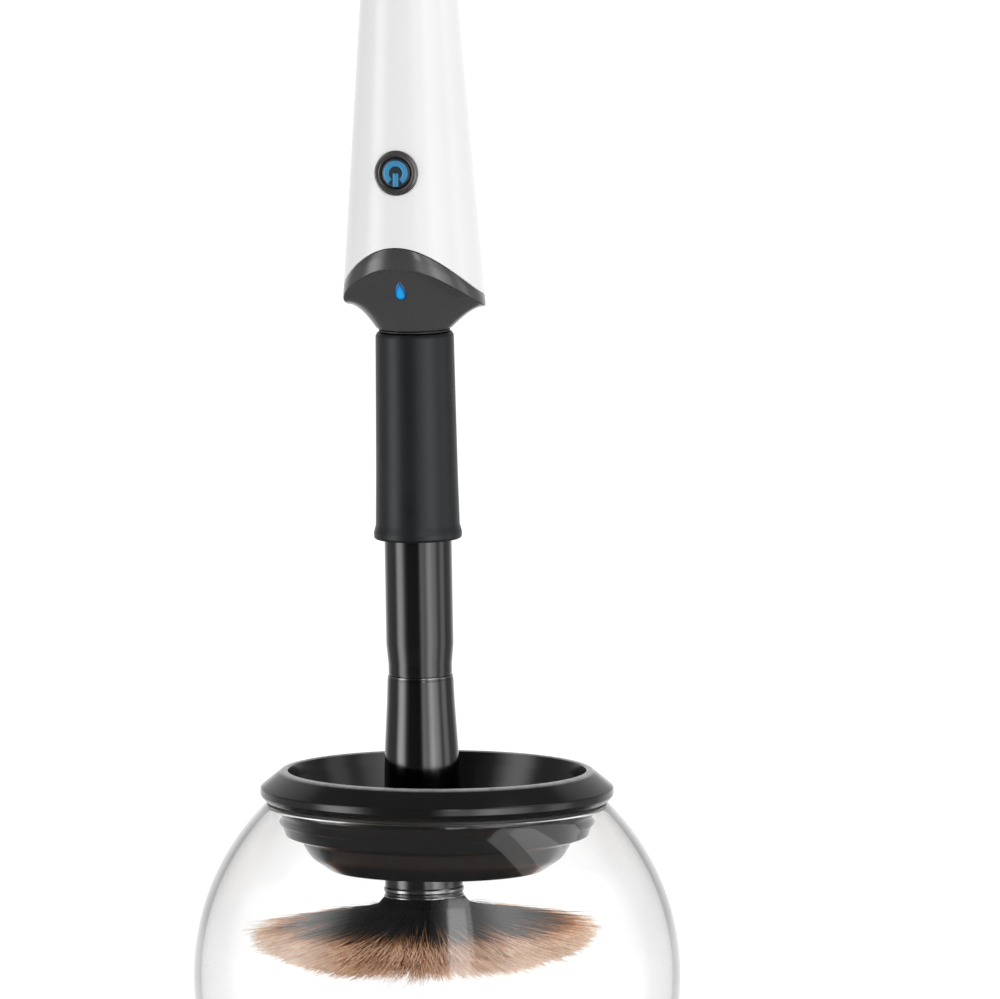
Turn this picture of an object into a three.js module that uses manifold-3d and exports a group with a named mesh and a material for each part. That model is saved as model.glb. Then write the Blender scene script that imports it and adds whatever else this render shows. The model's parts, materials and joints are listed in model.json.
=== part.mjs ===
// An electric make-up brush cleaner: a battery spinner whose rubber collar grips a brush, held over a round
// glass washing bowl with a splash guard on its rim. Millimetres, +Z up, origin at the centre of the bowl's
// base, and the spinner's power button faces -Y. The spinner leans a little over the bowl, as a hand holds it,
// and its pieces are modelled in their own frame: +Z along the spindle, with zero at the lower cap's neck.
import * as THREE from "three";
import { mergeVertices } from "three/addons/utils/BufferGeometryUtils.js";
import Module from "manifold-3d";

const wasm = await Module();
wasm.setup();

// ---------------------------------------------------------------- driving dimensions

const TAU = 2 * Math.PI;
const GAP = 0.15; // clearance between neighbours that touch on the real object
const THROUGH = 4; // half the length of a tool that cuts through a wall
const PILOT_R = 0.95; // hole for a self-tapping screw

const BOWL_R = 65; // outside of the glass sphere
const BOWL_WALL = 2;
const BOWL_CENTRE_Z = 48;
const BOWL_FOOT_R = 40; // flat face it stands on
const BOWL_FLOOR = 4.2; // glass thickness under the water
const RIM_ANGLE = Math.PI / 4; // latitude of the rim on the sphere

const LEAN = 0.0164; // spinner's lean, in radians
const LEAN_SIDE = THREE.MathUtils.degToRad(15); // direction across which it leans, from +X towards +Y
const NECK_Z = 222; // height of the spinner's neck over the base
const NECK_SHIFT = 5.95; // how far the neck stands off the bowl's axis

const FOOT_R = 19.52; // handle radius carried down to the neck's height
const TAPER = 0.0739; // radius lost per millimetre of height
const EASE_Z = 87.6; // above this the taper eases off
const EASE = 0.0004;
const SHELL_WALL = 1.6;
const SHELL_TOP = 150;
const HANDLE_TOP = 165;
const SPIGOT_TOP = 28; // cap's spigot inside the shell

const NECK_R = 10.2;
const BORE_R = 5.6; // through the lower cap, for the bush and the seal
const SHAFT_R = 3.4; // spindle journal
const HUB_R = 10.4;
const HUB_TOP = 13;

const BUTTON_Z = 43.1;
const BEZEL_R = 5.8;
const BUTTON_R = 4;

const SPINDLE_END = -16;
const SPINDLE_SEAT = 3; // bottom of the hole for the motor's shaft
const COLLAR_TOP = -0.9;
const COLLAR_END = -56.5;
const SOCKET_R = 6.45; // collar's socket for the spindle
const GRIP_R = 9.2; // collar's bore for the brush
const BRUSH_TOP = -42;
const FERRULE_TOP = -93;
const FERRULE_END = -152.6;

const CELL_R = 5.25;
const CELL_LENGTH = 43.5;
const CELL_NUB = 1;
const CELL_Z = 59.4;
const TUBE_R = 7.2; // outside of the cell tube
const TUBE_BORE = 5.7;
const TUBE_END = 141;
const LUG_X = 9.6; // screws that hold the tube's halves together
const LUG_Z = 65;

// ---------------------------------------------------------------- materials

function plastic(color, roughness) {
  return new THREE.MeshStandardMaterial({ color, roughness, metalness: 0 });
}

function metal(color, roughness) {
  return new THREE.MeshStandardMaterial({ color, roughness, metalness: 1 });
}

const MATERIALS = {
  glass: new THREE.MeshStandardMaterial({ color: 0xf4f8f8, roughness: 0.02, transparent: true, opacity: 0.3 }),
  whitePlastic: plastic(0xf2f2f0, 0.3),
  capPlastic: plastic(0x3c3c3c, 0.45),
  blackPlastic: plastic(0x141414, 0.25),
  chassisPlastic: plastic(0x9a9c9e, 0.5),
  rubber: plastic(0x1c1e20, 0.7),
  blueLight: plastic(0x2c8fd0, 0.3),
  board: plastic(0x1d5a3a, 0.5),
  chip: plastic(0x101010, 0.4),
  cellWrap: plastic(0xb88a3a, 0.35),
  lacquer: plastic(0x0c0c0c, 0.08),
  hair: plastic(0x8a6a50, 0.9),
  redWire: plastic(0xa01818, 0.5),
  blackWire: plastic(0x101010, 0.5),
  blackChrome: metal(0x2a2a2c, 0.12),
  steel: metal(0xb4b6b8, 0.35),
  brass: metal(0xb08d4c, 0.35),
};

// ---------------------------------------------------------------- shape helpers

const at = (r, z) => new THREE.Vector2(r, z);

// A closed loop of (radius, height) points turned about +Z. A loop that starts and ends on the axis closes
// there. loop may be a function of the angle round from -Y, for a shape that changes on its way round.
function turned(loop, segments = 24) {
  const sectionAt = typeof loop === "function" ? loop : () => loop;
  const first = sectionAt(0);
  const onAxis = first[0].x === 0 && first[first.length - 1].x === 0;
  const clockwise = THREE.ShapeUtils.area(first) < 0;
  const section = (angle) => {
    const points = onAxis ? [...sectionAt(angle)] : [...sectionAt(angle), sectionAt(angle)[0]];
    return clockwise ? points.reverse() : points;
  };
  const count = section(0).length;
  const geometry = new THREE.LatheGeometry(section(0), segments);
  const position = geometry.getAttribute("position");
  for (let i = 0; i <= segments; i++) {
    const angle = (TAU * i) / segments;
    section(angle).forEach((p, j) => {
      position.setXYZ(i * count + j, p.x * Math.sin(angle), p.y, p.x * Math.cos(angle));
    });
  }
  return geometry.rotateX(Math.PI / 2);
}

// A plain ring between two radii and two heights.
function ring(inner, outer, low, high, segments = 20) {
  return turned([at(inner, low), at(outer, low), at(outer, high), at(inner, high)], segments);
}

// A plain cylinder about +Z.
function disc(radius, low, high, segments = 20) {
  return turned([at(0, low), at(radius, low), at(radius, high), at(0, high)], segments);
}

function block(x, y, z) {
  const box = new THREE.BoxGeometry(x[1] - x[0], y[1] - y[0], z[1] - z[0]);
  return box.translate((x[0] + x[1]) / 2, (y[0] + y[1]) / 2, (z[0] + z[1]) / 2);
}

function arcPoints(centreZ, radius, from, to, count) {
  return Array.from({ length: count + 1 }, (_, i) => {
    const a = from + ((to - from) * i) / count;
    return at(radius * Math.cos(a), centreZ + radius * Math.sin(a));
  });
}

function bend(a, corner, b, count) {
  return new THREE.QuadraticBezierCurve(a, corner, b).getPoints(count);
}

function tube(points, radius) {
  const path = new THREE.CatmullRomCurve3(points.map((p) => new THREE.Vector3(...p)));
  const round = new THREE.Shape().absarc(0, 0, radius, 0, TAU);
  const options = { extrudePath: path, steps: 3 * points.length, curveSegments: 3, bevelEnabled: false };
  return new THREE.ExtrudeGeometry(round, options);
}

// ---------------------------------------------------------------- booleans

function toSolid(geometry) {
  const bare = geometry.clone();
  bare.deleteAttribute("normal");
  bare.deleteAttribute("uv");
  const merged = mergeVertices(bare, 1e-4);
  const vertProperties = merged.getAttribute("position").array;
  const triVerts = new Uint32Array(merged.index.array);
  return new wasm.Manifold(new wasm.Mesh({ numProp: 3, vertProperties, triVerts }));
}

function toGeometry(solid) {
  const mesh = solid.getMesh();
  const geometry = new THREE.BufferGeometry();
  geometry.setAttribute("position", new THREE.BufferAttribute(new Float32Array(mesh.vertProperties), 3));
  geometry.setIndex(new THREE.BufferAttribute(new Uint32Array(mesh.triVerts), 1));
  geometry.computeVertexNormals();
  return geometry;
}

function cut(geometry, ...tools) {
  return toGeometry(tools.reduce((solid, tool) => solid.subtract(toSolid(tool)), toSolid(geometry)));
}

function joined(geometry, ...others) {
  return toGeometry(others.reduce((solid, other) => solid.add(toSolid(other)), toSolid(geometry)));
}

function common(a, b) {
  return toGeometry(toSolid(a).intersect(toSolid(b)));
}

function add(group, name, geometry, material) {
  const mesh = new THREE.Mesh(geometry, material);
  mesh.name = name;
  group.add(mesh);
}

// ---------------------------------------------------------------- washing bowl and splash guard

// A glass sphere cut off by a flat foot, with an open, fire-polished rim.
function bowl() {
  const inner = BOWL_R - BOWL_WALL;
  const lip = BOWL_WALL / 2;
  const footCorner = 44;
  const outside = arcPoints(BOWL_CENTRE_Z, BOWL_R, -0.77, RIM_ANGLE, 10);
  const footBend = bend(at(BOWL_FOOT_R, 0), at(footCorner, 0), outside[0], 3).slice(0, -1);
  const mid = BOWL_R - lip;
  const middle = at(mid * Math.cos(RIM_ANGLE), BOWL_CENTRE_Z + mid * Math.sin(RIM_ANGLE));
  const rim = [45, 90, 135].map((d) => {
    const a = RIM_ANGLE + THREE.MathUtils.degToRad(d);
    return at(middle.x + lip * Math.cos(a), middle.y + lip * Math.sin(a));
  });
  const inside = arcPoints(BOWL_CENTRE_Z, inner, RIM_ANGLE, -0.663, 9);
  const floorCorner = at(footCorner + BOWL_WALL, BOWL_FLOOR);
  const floorBend = bend(inside[inside.length - 1], floorCorner, at(38, BOWL_FLOOR), 3);
  const floor = [...floorBend.slice(1), at(0, BOWL_FLOOR)];
  return turned([at(0, 0), ...footBend, ...outside, ...rim, ...inside, ...floor], 36);
}

// A funnel that hangs in the bowl's mouth from a sloping flange: flange, plug, step, then the drip cone.
function splashGuard() {
  const outside = [
    [26.8, 76.8], [28.2, 76.8], [29, 77.2], [32.2, 79.2], [34.4, 81.2], [35.8, 83.4], [36.2, 84.5],
    [40.2, 85.9], [40.6, 86.6], [41.8, 89.8], [43.6, 92], [43.9, 93], [43.9, 95.4], [45.8, 95.4],
    [46.8, 96.2], [47.1, 97.6], [47, 98.8], [41.5, 103.3], [40.5, 103.6],
  ];
  const inside = [
    [39.7, 103.2], [39.2, 100], [37.8, 95.5], [36.4, 91.5], [34.9, 86.2], [34.2, 83.6], [31.4, 80.6],
    [27, 77.6],
  ];
  return turned([...outside, ...inside].map(([r, z]) => at(r, z)), 28);
}

// The soft ring between the flange and the glass rim.
function guardSeal() {
  const seat = BOWL_R * Math.cos(RIM_ANGLE);
  return ring(seat - 1.86, seat - 0.56, 94.4, 95.3, 36);
}

function addWashingBowl(root) {
  add(root, "bowl", bowl(), MATERIALS.glass);
  add(root, "splash_guard", splashGuard(), MATERIALS.blackPlastic);
  add(root, "guard_seal", guardSeal(), MATERIALS.rubber);
}

// ---------------------------------------------------------------- handle

function handleRadius(z) {
  const above = Math.max(0, z - EASE_Z);
  return FOOT_R - TAPER * z + EASE * above * above;
}

// Where the white shell meets the lower cap: a high arch at the front, a lower one behind, low at the sides.
const seamZ = (angle) => 13.65 + 5.26 * Math.cos(angle) + 4.13 * Math.cos(2 * angle);

// Lower edge of the cap's skirt.
const skirtZ = (angle) => 9.2 + 5 * Math.cos(angle) + 3.06 * Math.cos(2 * angle);

// The cap's hollowed underside, rising from the neck to the skirt.
function undersideZ(radius, angle) {
  const edge = skirtZ(angle);
  const share = (radius - NECK_R) / (handleRadius(edge) - NECK_R);
  return edge * Math.sin((Math.PI / 2) * THREE.MathUtils.clamp(share, 0, 1));
}

function handleShell() {
  const tube = turned((angle) => {
    const low = seamZ(angle) + GAP;
    const heights = [0, 0.25, 0.5, 0.75, 1].map((t) => low + (SHELL_TOP - GAP - low) * t);
    const outside = heights.map((z) => at(handleRadius(z), z));
    const inside = heights.map((z) => at(handleRadius(z) - SHELL_WALL, z)).reverse();
    return [...outside, ...inside];
  }, 32);
  const buttonHole = placedOnFront(disc(BEZEL_R + GAP, -THROUGH, THROUGH));
  return cut(tube, buttonHole);
}

// Neck, hollowed underside and skirt outside; a spigot that plugs the shell and a hub for the motor inside.
function lowerCap() {
  const floor = 3;
  const neckChamfer = 0.4;
  const spigotWall = 1.5;
  const cavityR = 15.5;
  const spigotR = (z) => handleRadius(z) - SHELL_WALL - 2 * GAP;
  const body = turned((angle) => {
    const skirt = skirtZ(angle);
    const seam = seamZ(angle);
    const rim = handleRadius(skirt);
    const outside = [at(BORE_R, neckChamfer), at(NECK_R - neckChamfer, 0)];
    for (const t of [0, 0.17, 0.34, 0.51, 0.68, 0.85]) {
      const r = NECK_R + (rim - NECK_R) * t;
      outside.push(at(r, neckChamfer + undersideZ(r, angle)));
    }
    outside.push(at(rim, skirt), at(handleRadius(seam), seam), at(spigotR(seam), seam));
    outside.push(at(spigotR(SPIGOT_TOP), SPIGOT_TOP));
    const cavity = [at(spigotR(SPIGOT_TOP) - spigotWall, SPIGOT_TOP), at(cavityR + 0.1, seam)];
    for (const r of [cavityR, 14, 12.2, HUB_R]) cavity.push(at(r, undersideZ(r, angle) + floor));
    cavity.push(at(HUB_R, HUB_TOP), at(BORE_R, HUB_TOP));
    return [...outside, ...cavity];
  }, 32);
  const pilots = HOLDER_SCREWS.map((y) => disc(PILOT_R, HUB_TOP - 7, HUB_TOP + 1, 8).translate(0, y, 0));
  const window = placedOnUnderside(droplet(LED_HALF_WIDTH + 0.12, -THROUGH, THROUGH));
  return cut(body, window, ...pilots);
}

// Soft ring on the spigot's end, which keeps water out of the shell.
function capRing() {
  const cord = 0.6;
  return new THREE.TorusGeometry(14.9, cord, 6, 32).translate(0, 0, SPIGOT_TOP + cord + 0.2);
}

// ---------------------------------------------------------------- indicator light

const LED_R = 13.9; // where the window sits on the cap's hollowed front
const LED_HALF_WIDTH = 1.6;
const LED_LENGTH = 6;

// A drop with its point up, in the XY plane, drawn out from low to high along +Z.
function droplet(halfWidth, low, high) {
  const tip = LED_LENGTH / 2 + (halfWidth - LED_HALF_WIDTH);
  const belly = halfWidth - tip;
  const outline = new THREE.Shape().moveTo(0, tip);
  outline.bezierCurveTo(-0.3 * halfWidth, 0.5 * tip, -halfWidth, 0.3 * tip, -halfWidth, belly);
  outline.absarc(0, belly, halfWidth, Math.PI, TAU);
  outline.bezierCurveTo(halfWidth, 0.3 * tip, 0.3 * halfWidth, 0.5 * tip, 0, tip);
  const options = { depth: high - low, curveSegments: 5, bevelEnabled: false };
  return new THREE.ExtrudeGeometry(outline, options).translate(0, 0, low);
}

// Moves a shape modelled on the XY plane to the front of the cap's underside, +Z along the outward normal.
function placedOnUnderside(geometry) {
  const step = 0.5;
  const rise = undersideZ(LED_R + step, 0) - undersideZ(LED_R - step, 0);
  const slope = Math.atan2(rise, 2 * step);
  const turn = Math.PI - slope;
  return geometry.rotateX(turn).translate(0, -LED_R, undersideZ(LED_R, 0) + GAP);
}

function addIndicator(spinner) {
  const window = droplet(LED_HALF_WIDTH, -1.6, 0.15);
  const lamp = disc(1.3, -2.7, -1.9, 12);
  const lead = [[0, -11.9, 14.4], [0, -12.6, 18], [0, -12.6, 29], [0, -10.4, 33]];
  add(spinner, "led_window", placedOnUnderside(window), MATERIALS.blueLight);
  add(spinner, "indicator_led", placedOnUnderside(lamp), MATERIALS.blueLight);
  add(spinner, "led_lead", tube(lead, 0.35), MATERIALS.blackWire);
}

// ---------------------------------------------------------------- power button

const BUTTON_TILT = Math.atan(TAPER);
const BUTTON_BACK = -2.2;
const SYMBOL_R = 3.35;
const SYMBOL_STROKE = 1.5;
const SYMBOL_BASE = 0.16; // just clear of the button's face
const SYMBOL_HEIGHT = 0.25;

// Moves a shape modelled on the XY plane to the handle's front, +Z along the outward normal and +Y upward.
function placedOnFront(geometry) {
  return geometry.rotateX(Math.PI / 2 - BUTTON_TILT).translate(0, -handleRadius(BUTTON_Z), BUTTON_Z);
}

// The standby symbol: an open ring, and a bar through its gap. The gap faces down the handle.
function symbolRing() {
  const halfGap = THREE.MathUtils.degToRad(35);
  const from = -Math.PI / 2 + halfGap;
  const to = 1.5 * Math.PI - halfGap;
  const outline = new THREE.Shape();
  outline.absarc(0, 0, SYMBOL_R, from, to, false);
  outline.absarc(0, 0, SYMBOL_R - SYMBOL_STROKE, to, from, true);
  const options = { depth: SYMBOL_HEIGHT, curveSegments: 12, bevelEnabled: false };
  return new THREE.ExtrudeGeometry(outline, options).translate(0, 0, SYMBOL_BASE);
}

function symbolBar() {
  const half = SYMBOL_STROKE / 2;
  return block([-half, half], [-SYMBOL_R - 0.2, -0.1], [SYMBOL_BASE, SYMBOL_BASE + SYMBOL_HEIGHT]);
}

function buttonCap() {
  return turned([
    at(0, BUTTON_BACK), at(BUTTON_R, BUTTON_BACK), at(BUTTON_R, -0.3), at(BUTTON_R - 0.3, 0.1), at(0, 0.1),
  ]);
}

function buttonBezel() {
  const bore = BUTTON_R + GAP;
  return turned([
    at(bore, -1.9), at(BEZEL_R, -1.9), at(BEZEL_R, 0.2), at(BEZEL_R - 0.5, 0.5), at(bore + 0.5, 0.5),
    at(bore, 0),
  ]);
}

function addPowerButton(spinner) {
  const plunger = disc(1.4, BUTTON_BACK - 2.4, BUTTON_BACK - GAP, 12);
  const seal = ring(BUTTON_R + 0.3, BEZEL_R - 0.1, -2.5, -2.05);
  add(spinner, "button_bezel", placedOnFront(buttonBezel()), MATERIALS.capPlastic);
  add(spinner, "button_cap", placedOnFront(buttonCap()), MATERIALS.blackPlastic);
  add(spinner, "symbol_ring", placedOnFront(symbolRing()), MATERIALS.blueLight);
  add(spinner, "symbol_bar", placedOnFront(symbolBar()), MATERIALS.blueLight);
  add(spinner, "switch_plunger", placedOnFront(plunger), MATERIALS.blackPlastic);
  add(spinner, "button_seal", placedOnFront(seal), MATERIALS.rubber);
}

// ---------------------------------------------------------------- motor and drive

const MOTOR_Z = 15.5;
const MOTOR_TOP = 38;
const MOTOR_R = 10;
const MOTOR_HALF_DEPTH = 7.5; // the can has two flats
const MOTOR_WALL = 0.8;
const SHAFT_HOLE_R = 1.15;
const MOTOR_SHAFT_R = 1;
const HOLDER_Z = HUB_TOP + 0.2;
const HOLDER_FLOOR = 2;
const HOLDER_SCREWS = [-8.9, 8.9];
const SCREW_LENGTH = 8;

function flatSided(radius, halfDepth, low, high) {
  const flats = block([-radius, radius], [-halfDepth, halfDepth], [low - 1, high + 1]);
  return common(disc(radius, low, high), flats);
}

function motorCan() {
  const boss = disc(3, MOTOR_Z - 1.4, MOTOR_Z + 0.5);
  const outside = joined(flatSided(MOTOR_R, MOTOR_HALF_DEPTH, MOTOR_Z, MOTOR_TOP), boss);
  const hollow = flatSided(MOTOR_R - MOTOR_WALL, MOTOR_HALF_DEPTH - MOTOR_WALL, MOTOR_Z + 1.2, MOTOR_TOP + 1);
  return cut(outside, hollow, disc(SHAFT_HOLE_R, MOTOR_Z - THROUGH, MOTOR_Z + THROUGH, 12));
}

// side is -1 for the left magnet and 1 for the right one.
function motorMagnet(side) {
  const outer = MOTOR_R - MOTOR_WALL - 0.25;
  const low = MOTOR_Z + 3;
  const high = MOTOR_TOP - 3;
  const reach = MOTOR_HALF_DEPTH - MOTOR_WALL - 0.4;
  const keep = block([3, outer + 1], [-reach, reach], [low - 1, high + 1]);
  const magnet = common(ring(6.3, outer, low, high), keep);
  return side < 0 ? magnet.rotateZ(Math.PI) : magnet;
}

function motorEndBell() {
  const bell = flatSided(MOTOR_R - 0.4, MOTOR_HALF_DEPTH - 0.3, MOTOR_TOP + GAP, MOTOR_TOP + 3.4);
  return cut(bell, disc(SHAFT_HOLE_R, MOTOR_TOP - THROUGH, MOTOR_TOP + THROUGH, 12));
}

// Armature on its shaft, which drives the spindle.
function motorRotor() {
  const low = SPINDLE_SEAT + 0.4;
  const high = MOTOR_TOP + 2.6;
  const core = [at(5.6, 19), at(5.6, 33), at(2.6, 33), at(2.6, 36.5)];
  return turned([
    at(0, low), at(MOTOR_SHAFT_R, low), at(MOTOR_SHAFT_R, 19), ...core, at(MOTOR_SHAFT_R, 36.5),
    at(MOTOR_SHAFT_R, high), at(0, high),
  ]);
}

// A cup that holds the motor on the cap's hub, open at the front and rear between two side walls.
function motorHolder() {
  const bore = MOTOR_R + 0.3;
  const outer = 12;
  const top = 29;
  const seat = HOLDER_Z + HOLDER_FLOOR;
  const cup = turned([
    at(3.3, HOLDER_Z), at(outer, HOLDER_Z), at(outer, top), at(bore, top), at(bore, seat), at(3.3, seat),
  ]);
  const trimmed = common(cup, block([-outer, outer], [-bore - 0.1, bore + 0.1], [HOLDER_Z - 1, top + 1]));
  const holes = HOLDER_SCREWS.map((y) => disc(PILOT_R, HOLDER_Z - 1, seat + 1, 8).translate(0, y, 0));
  return cut(trimmed, block([-6, 6], [-outer, outer], [seat, top + 1]), ...holes);
}

// A self-tapping screw along +Z whose head sits on the given height.
function screw(headLow) {
  const thread = PILOT_R - GAP;
  const tip = headLow - SCREW_LENGTH;
  return turned([
    at(0, tip), at(0.5, tip), at(thread, tip + 1), at(thread, headLow), at(1.25, headLow),
    at(1.15, headLow + 0.9), at(0, headLow + 1.1),
  ], 12);
}

// Rubber-grip driver that the collar pushes on to, on a journal through the seal and the bush. A thin flange
// between the two throws water off before it reaches the seal.
function spindle() {
  const driver = SOCKET_R - GAP;
  const flange = { r: 9.3, low: -0.62, high: -0.28 };
  const top = HUB_TOP - 0.1;
  const bore = MOTOR_SHAFT_R + 0.1;
  return turned([
    at(0, SPINDLE_END), at(driver - 0.4, SPINDLE_END), at(driver, SPINDLE_END + 1), at(driver, flange.low),
    at(flange.r, flange.low), at(flange.r, flange.high), at(SHAFT_R, flange.high), at(SHAFT_R, top),
    at(bore, top), at(bore, SPINDLE_SEAT), at(0, SPINDLE_SEAT),
  ]);
}

function addDrive(spinner) {
  const journal = SHAFT_R + 0.05;
  const housing = BORE_R - 0.1;
  const headZ = HOLDER_Z + HOLDER_FLOOR + GAP;
  add(spinner, "motor_can", motorCan(), MATERIALS.steel);
  add(spinner, "motor_end_bell", motorEndBell(), MATERIALS.whitePlastic);
  add(spinner, "motor_magnet_left", motorMagnet(-1), MATERIALS.chip);
  add(spinner, "motor_magnet_right", motorMagnet(1), MATERIALS.chip);
  add(spinner, "motor_rotor", motorRotor(), MATERIALS.steel);
  add(spinner, "motor_holder", motorHolder(), MATERIALS.chassisPlastic);
  ["front", "rear"].forEach((side, i) => {
    add(spinner, "holder_screw_" + side, screw(headZ).translate(0, HOLDER_SCREWS[i], 0), MATERIALS.steel);
  });
  add(spinner, "shaft_bush", ring(journal, housing, 8, 12.6), MATERIALS.brass);
  add(spinner, "shaft_seal", ring(journal, housing, 2, 5), MATERIALS.rubber);
  add(spinner, "spindle", spindle(), MATERIALS.blackPlastic);
}

// ---------------------------------------------------------------- electronics and cells

const BOARD_BACK = -8.4;
const BOARD_FRONT = -9.6;
const BOARD_TOP = 55.6;
const CHIP_Z = 51;
const WIRE_R = 0.45;

function tactSwitch() {
  const half = 3;
  const body = block([-half, half], [-12.9, BOARD_FRONT - 0.05], [BUTTON_Z - half, BUTTON_Z + half]);
  return cut(body, placedOnFront(disc(1.7, -6, -2, 12)));
}

function addMotorLead(spinner, name, x, material) {
  const tab = block([x - 1, x + 1], [-0.25, 0.25], [MOTOR_TOP + 3.6, MOTOR_TOP + 6]);
  const lead = tube([[x, -0.9, MOTOR_TOP + 5], [x, -4, MOTOR_TOP + 7], [x, -7.4, MOTOR_TOP + 9.5]], WIRE_R);
  add(spinner, "motor_terminal_" + name, tab, MATERIALS.brass);
  add(spinner, "motor_lead_" + name, lead, material);
}

function addElectronics(spinner) {
  const board = block([-6, 6], [BOARD_FRONT, BOARD_BACK], [31, BOARD_TOP]);
  const chip = block([-2, 2], [BOARD_FRONT - 1.2, BOARD_FRONT - 0.05], [CHIP_Z - 2, CHIP_Z + 2]);
  const supply = [[0, -2.2, BOARD_TOP], [1, -5, BOARD_TOP - 1.2], [2, -7.6, BOARD_TOP - 1.6]];
  add(spinner, "circuit_board", board, MATERIALS.board);
  add(spinner, "tact_switch", tactSwitch(), MATERIALS.chip);
  add(spinner, "driver_chip", chip, MATERIALS.chip);
  add(spinner, "supply_lead", tube(supply, WIRE_R), MATERIALS.redWire);
  addMotorLead(spinner, "left", -4.5, MATERIALS.redWire);
  addMotorLead(spinner, "right", 4.5, MATERIALS.blackWire);
}

// A dry cell standing on its nub, so that its positive end meets the board's contact.
function cell(low) {
  const top = low + CELL_NUB + CELL_LENGTH;
  return turned([
    at(0, low), at(1.9, low), at(1.9, low + CELL_NUB), at(CELL_R, low + CELL_NUB), at(CELL_R, top), at(0, top),
  ]);
}

// One half of the tube that holds the cells: side is -1 at the front and 1 at the rear.
function batteryTube(side) {
  const base = CELL_Z - 2.9;
  const flangeTop = base + 2;
  const leadHoleR = 2.2;
  const wall = turned([
    at(leadHoleR, base), at(13, base), at(13, flangeTop), at(TUBE_R, flangeTop), at(TUBE_R, TUBE_END),
    at(TUBE_BORE, TUBE_END), at(TUBE_BORE, flangeTop), at(leadHoleR, flangeTop),
  ]);
  const lug = (x) => block([x - 2.6, x + 2], [-2.5, 2.5], [LUG_Z - 3, LUG_Z + 3]);
  const lugs = [lug(LUG_X), lug(LUG_X).rotateZ(Math.PI)];
  const hole = (x) => disc(PILOT_R, -THROUGH, THROUGH, 8).rotateX(Math.PI / 2).translate(x, 0, LUG_Z);
  const near = 0.1 * side;
  const far = 20 * side;
  const half = block([-20, 20], [Math.min(near, far), Math.max(near, far)], [0, HANDLE_TOP]);
  return common(cut(joined(wall, ...lugs), hole(LUG_X), hole(-LUG_X)), half);
}

function contactPlate() {
  const pad = disc(4.4, CELL_Z - 0.75, CELL_Z - 0.35);
  return joined(pad, disc(1.6, CELL_Z - 3.1, CELL_Z - 0.5, 12));
}

// A conical coil under the battery cap that presses the cells down.
function contactSpring() {
  const turns = 3;
  const pointsPerTurn = 10;
  const height = 3.6;
  const low = CELL_Z + 2 * (CELL_NUB + CELL_LENGTH) + 0.9;
  const points = Array.from({ length: pointsPerTurn * turns + 1 }, (_, i) => {
    const share = i / (pointsPerTurn * turns);
    const angle = TAU * turns * share;
    const r = 2 + 2 * share;
    return new THREE.Vector3(r * Math.cos(angle), r * Math.sin(angle), low + height * share);
  });
  const path = new THREE.CatmullRomCurve3(points);
  const wire = new THREE.Shape().absarc(0, 0, 0.35, 0, TAU);
  const options = { extrudePath: path, steps: 48, curveSegments: 2, bevelEnabled: false };
  return new THREE.ExtrudeGeometry(wire, options);
}

// Domed cap whose plug seals the top of the handle.
function batteryCap() {
  const domeZ = 156;
  const domeR = handleRadius(domeZ);
  const ceiling = 154;
  const plugEnd = 142;
  const plug = [at(6.4, ceiling), at(6.4, plugEnd), at(8.1, plugEnd), at(8.1, SHELL_TOP)];
  const dome = [15, 30, 45, 60, 75].map((degrees) => {
    const a = THREE.MathUtils.degToRad(degrees);
    return at(domeR * Math.cos(a), domeZ + (HANDLE_TOP - domeZ) * Math.sin(a));
  });
  const skirt = [at(handleRadius(SHELL_TOP), SHELL_TOP), at(domeR, domeZ)];
  return turned([at(0, ceiling), ...plug, ...skirt, ...dome, at(0, HANDLE_TOP)]);
}

function addPower(spinner) {
  add(spinner, "battery_tube_front", batteryTube(-1), MATERIALS.chassisPlastic);
  add(spinner, "battery_tube_rear", batteryTube(1), MATERIALS.chassisPlastic);
  [["left", -LUG_X], ["right", LUG_X]].forEach(([side, x]) => {
    const fastener = screw(3.2).rotateX(-Math.PI / 2).translate(x, 0, LUG_Z);
    add(spinner, "tube_screw_" + side, fastener, MATERIALS.steel);
  });
  const strip = block([-1.5, 1.5], [TUBE_R + 0.2, TUBE_R + 0.5], [CELL_Z + 0.1, TUBE_END - 1]);
  add(spinner, "cell_lower", cell(CELL_Z), MATERIALS.cellWrap);
  add(spinner, "cell_upper", cell(CELL_Z + CELL_NUB + CELL_LENGTH + 0.3), MATERIALS.cellWrap);
  add(spinner, "positive_contact", contactPlate(), MATERIALS.brass);
  add(spinner, "negative_strip", strip, MATERIALS.brass);
  add(spinner, "battery_cap", batteryCap(), MATERIALS.whitePlastic);
  add(spinner, "contact_spring", contactSpring(), MATERIALS.steel);
}

// ---------------------------------------------------------------- collar and brush

function collar() {
  const grip = -16.6; // end of the socket for the spindle
  const web = 2.2;
  const outside = [
    [9.8, COLLAR_TOP], [10.35, -1.5], [10.5, -2.6], [10.65, -22], [10.9, -40], [11.2, -53.2], [11.5, -54],
    [11.75, -55], [11.65, -55.9], [11.2, COLLAR_END], [9.6, COLLAR_END], [GRIP_R, COLLAR_END + 0.5],
  ];
  const inside = [[GRIP_R, grip - web], [3, grip - web], [3, grip], [SOCKET_R, grip], [SOCKET_R, COLLAR_TOP]];
  return turned([...outside, ...inside].map(([r, z]) => at(r, z)));
}

// A lacquered rod that narrows to a tenon inside the ferrule.
function brushHandle() {
  const tenon = [[0, -112], [7.6, -112], [7.6, FERRULE_TOP]];
  const rod = [
    [8.46, FERRULE_TOP + 0.15], [8.46, -90.4], [8.72, -87.4], [8.95, -84.6], [8.95, -44], [8.5, -42.5],
    [7.6, BRUSH_TOP], [0, BRUSH_TOP],
  ];
  return turned([...tenon, ...rod].map(([r, z]) => at(r, z)));
}

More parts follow.
